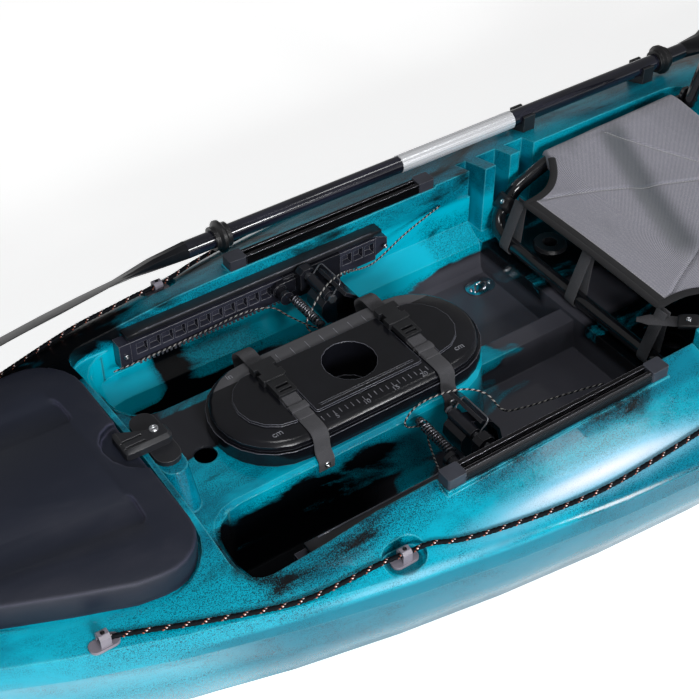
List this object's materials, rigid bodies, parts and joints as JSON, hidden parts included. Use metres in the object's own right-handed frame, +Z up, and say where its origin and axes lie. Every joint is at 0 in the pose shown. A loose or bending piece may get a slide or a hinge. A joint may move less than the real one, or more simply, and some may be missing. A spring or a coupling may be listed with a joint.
{
  "type": "fishing kayak",
  "caption": "sit-on-top fishing kayak with lidded bow hatch, centre console, steering foot pedals, framed mesh seat, gear tracks, paddle and stern rudder",
  "frame": {"origin": "on the flat of the keel, on the centre line, 1.53 m behind the bow", "axes": "+X to the bow, +Y to port, +Z up"},
  "size_m": [3.397, 0.8492, 0.7375],
  "materials": {
    "hull_teal": "rotomoulded polyethylene, glossy teal with dark mottling",
    "steel": "stainless steel, satin",
    "cover_black": "blue-black moulding, matt",
    "satin_black": "moulded black plastic, satin",
    "gloss_black": "moulded black plastic, glossy",
    "webbing": "woven charcoal webbing",
    "anodised": "black anodised extrusion",
    "cap_grey": "moulded grey plastic",
    "cord": "braided black cord with light flecks",
    "tube_black": "bent tube, gloss black powder coat",
    "seat_mesh": "light grey coated mesh with stitched seams",
    "shaft_black": "composite tube, gloss blue-black",
    "bright": "bright drawn tube"
  },
  "bodies": {
    "hull": {"hull": "hull_teal", "hatch_hinge": "steel", "latch_plate": "satin_black", "port_gear_track": "anodised", "starboard_gear_track": "anodised", "port_track_rear_cap": "cap_grey", "starboard_track_rear_cap": "cap_grey", "port_track_front_cap": "cap_grey", "starboard_track_front_cap": "cap_grey", "port_foot_rail": "satin_black", "starboard_foot_rail": "satin_black", "port_steering_line": "cord", "starboard_steering_line": "cord", "port_deck_line": "cord", "starboard_deck_line": "cord", "port_bow_padeye": "steel", "starboard_bow_padeye": "steel", "port_middle_padeye": "steel", "starboard_middle_padeye": "steel", "port_stern_padeye": "steel", "starboard_stern_padeye": "steel", "floor_padeye": "steel", "drain_ring": "satin_black", "bow_handle": "satin_black", "stern_handle": "satin_black", "bow_paddle_clip": "satin_black", "stern_paddle_clip": "satin_black", "rudder_bracket": "satin_black"},
    "hatch": {"hatch_cover": "cover_black"},
    "latch": {"latch_lever": "satin_black"},
    "pod": {"pod_box": "gloss_black"},
    "lid": {"pod_lid": "gloss_black", "bow_pod_strap": "webbing", "stern_pod_strap": "webbing", "bow_pod_buckle": "satin_black", "stern_pod_buckle": "satin_black"},
    "port_slider": {"port_pedal_carriage": "satin_black", "port_pedal_spring": "steel"},
    "starboard_slider": {"starboard_pedal_carriage": "satin_black", "starboard_pedal_spring": "steel"},
    "port_tread": {"port_pedal": "satin_black", "port_pedal_shaft": "steel"},
    "starboard_tread": {"starboard_pedal": "satin_black", "starboard_pedal_shaft": "steel"},
    "seat": {"seat_frame": "tube_black", "seat_cloth": "seat_mesh", "starboard_seat_loop": "webbing", "middle_seat_loop": "webbing", "port_seat_loop": "webbing"},
    "seat_back": {"seat_back_frame": "tube_black", "seat_back_cloth": "seat_mesh"},
    "paddle": {"front_paddle_shaft": "shaft_black", "paddle_ferrule": "bright", "rear_paddle_shaft": "shaft_black", "front_paddle_blade": "satin_black", "rear_paddle_blade": "satin_black", "front_drip_ring": "satin_black", "rear_drip_ring": "satin_black"},
    "rudder": {"rudder_head": "satin_black"},
    "blade": {"rudder_blade": "satin_black"}
  },
  "joints": [
    {"name": "hatch_hinge_turn", "type": "hinge", "parent": "hull", "child": "hatch", "pos_m": [1.308, 0, 0.322], "axis": [0, 1, 0], "range_deg": [0, 90]},
    {"name": "latch_turn", "type": "hinge", "parent": "hull", "child": "latch", "pos_m": [0.794, -0.006, 0.31], "axis": [0, 0, 1], "range_deg": [0, 90]},
    {"name": "pod_lift", "type": "slide", "parent": "hull", "child": "pod", "axis": [0, 0, 1], "range_m": [0, 0.15]},
    {"name": "lid_lift", "type": "slide", "parent": "pod", "child": "lid", "axis": [0, 0, 1], "range_m": [0, 0.09]},
    {"name": "port_rail_slide", "type": "slide", "parent": "hull", "child": "port_slider", "axis": [1, 0, 0], "range_m": [-0.065, 0.24], "deforming": ["port_steering_line"]},
    {"name": "starboard_rail_slide", "type": "slide", "parent": "hull", "child": "starboard_slider", "axis": [1, 0, 0], "range_m": [-0.065, 0.24], "deforming": ["starboard_steering_line"]},
    {"name": "port_tread_tip", "type": "hinge", "parent": "port_slider", "child": "port_tread", "pos_m": [0.41, 0.19, 0.264], "axis": [0, 1, 0], "range_deg": [-18, 18]},
    {"name": "starboard_tread_tip", "type": "hinge", "parent": "starboard_slider", "child": "starboard_tread", "pos_m": [0.41, -0.19, 0.264], "axis": [0, 1, 0], "range_deg": [-18, 18]},
    {"name": "seat_lift", "type": "slide", "parent": "hull", "child": "seat", "axis": [0, 0, 1], "range_m": [0, 0.15]},
    {"name": "back_fold", "type": "hinge", "parent": "seat", "child": "seat_back", "pos_m": [-0.4, 0, 0.306], "axis": [0, 1, 0], "range_deg": [0, 75]},
    {"name": "paddle_lift", "type": "slide", "parent": "hull", "child": "paddle", "axis": [0, 0, 1], "range_m": [0, 0.12]},
    {"name": "rudder_steer", "type": "hinge", "parent": "hull", "child": "rudder", "pos_m": [-1.806, 0, 0.293], "axis": [0, 0, 1], "range_deg": [-35, 35]},
    {"name": "blade_swing", "type": "hinge", "parent": "rudder", "child": "blade", "pos_m": [-1.843, 0, 0.416], "axis": [0, 1, 0], "range_deg": [-245, 0]}
  ],
  "couplings": [
    {"joint": "starboard_tread_tip", "follows": "port_tread_tip", "ratio": -1},
    {"joint": "rudder_steer", "follows": "port_tread_tip", "ratio": 1.9}
  ]
}
